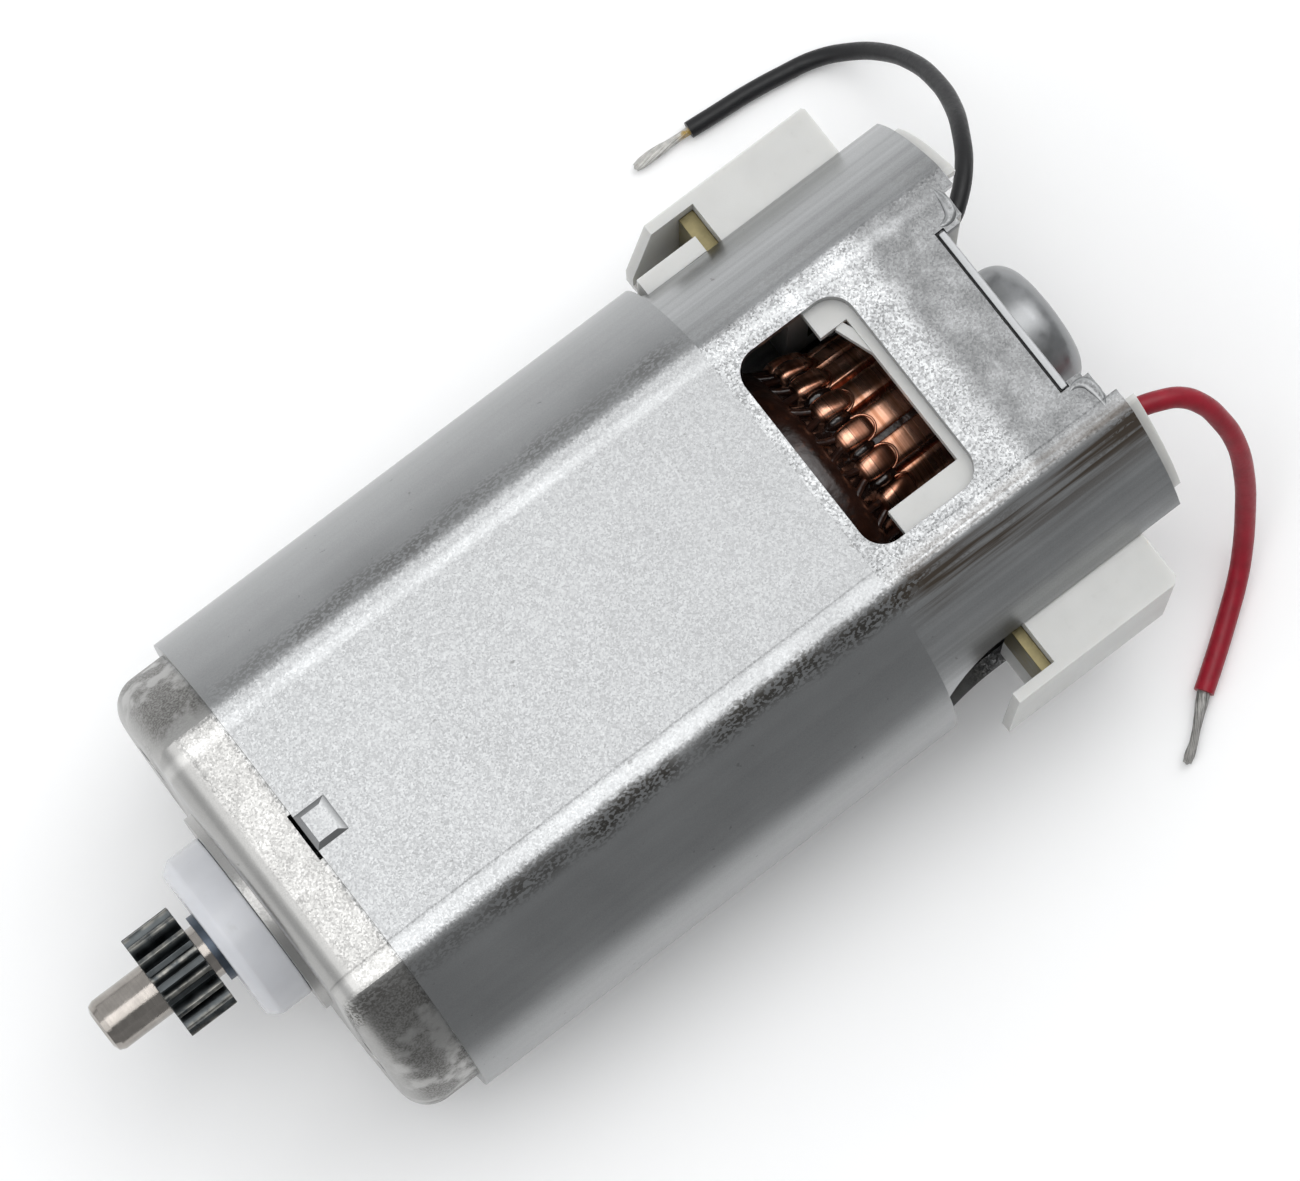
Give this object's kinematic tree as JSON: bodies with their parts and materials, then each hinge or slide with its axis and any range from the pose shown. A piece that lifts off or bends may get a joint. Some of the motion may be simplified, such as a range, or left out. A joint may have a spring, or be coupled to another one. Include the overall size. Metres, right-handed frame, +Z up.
{
  "type": "electric motor",
  "caption": "Flat-sided brushed DC motor: drawn steel can with a flux ring, a white locating collar, a pinion on the shaft, side brush boxes and black and red flying leads.",
  "frame": {"origin": "on the shaft axis, at the face of the raised step that the locating collar seats on", "axes": "+X along the shaft towards the pinion, +Z up through the flat with the locating dimple, +Y towards the red lead's side"},
  "size_m": [0.087, 0.0585, 0.031],
  "materials": {
    "can_steel": "zinc-plated satin sheet steel with a fine crystalline grain, scuffed at the bends",
    "ring_steel": "zinc-plated satin sheet steel, smooth on the round sides",
    "ferrite": "dark grey sintered ferrite",
    "spring_steel": "bright spring steel",
    "nylon": "slightly translucent bluish white nylon",
    "sintered_iron": "oiled sintered iron",
    "carrier_plastic": "warm off-white moulded plastic",
    "plate_steel": "zinc-plated sheet steel with sheared edges",
    "sintered_bronze": "oiled sintered bronze",
    "brass": "dull stamped brass",
    "black_insulation": "satin black PVC",
    "red_insulation": "satin crimson PVC",
    "tinned_wire": "dull tinned strands",
    "shaft_steel": "bright ground steel",
    "pinion_steel": "dark oiled gear steel with lighter tooth edges",
    "core_steel": "stacked silicon steel sheets",
    "fibre": "green fibre sheet",
    "enamelled_wire": "varnished enamelled copper wire",
    "moulding_resin": "dark brown moulding resin",
    "copper": "machined copper with brush wear",
    "carbon": "copper graphite"
  },
  "bodies": {
    "stator": {"can": "can_steel", "flux_ring": "ring_steel", "magnet_left": "ferrite", "magnet_right": "ferrite", "magnet_clip_top": "spring_steel", "magnet_clip_bottom": "spring_steel", "front_collar": "nylon", "front_bearing": "sintered_iron", "brush_carrier": "carrier_plastic", "rear_plate": "plate_steel", "rear_bearing": "sintered_bronze", "bearing_retainer": "spring_steel", "brush_tube_left": "brass", "brush_tube_right": "brass", "terminal_left": "brass", "terminal_right": "brass", "brush_spring_left": "spring_steel", "brush_spring_right": "spring_steel", "lead_black": "black_insulation", "lead_red": "red_insulation", "lead_tip_black": "tinned_wire", "lead_tip_red": "tinned_wire"},
    "rotor": {"shaft": "shaft_steel", "pinion": "pinion_steel", "armature_core": "core_steel", "insulator_front": "fibre", "insulator_rear": "fibre", "windings": "enamelled_wire", "commutator_hub": "moulding_resin", "commutator_bars": "copper", "spacer_front": "nylon", "thrust_washer_front": "nylon", "thrust_washer_rear": "nylon"},
    "brush_left": {"brush_left": "carbon"},
    "brush_right": {"brush_right": "carbon"}
  },
  "joints": [
    {"name": "rotor_spin", "type": "hinge", "parent": "stator", "child": "rotor", "pos_m": [0, 0, 0], "axis": [1, 0, 0], "continuous": true},
    {"name": "brush_left_slide", "type": "slide", "parent": "stator", "child": "brush_left", "axis": [0, 1, 0], "range_m": [0, 0.0015], "stiffness_N_per_m": 200, "springref_m": -0.004, "deforming": ["brush_spring_left"]},
    {"name": "brush_right_slide", "type": "slide", "parent": "stator", "child": "brush_right", "axis": [0, -1, 0], "range_m": [0, 0.0015], "stiffness_N_per_m": 200, "springref_m": -0.004, "deforming": ["brush_spring_right"]}
  ]
}
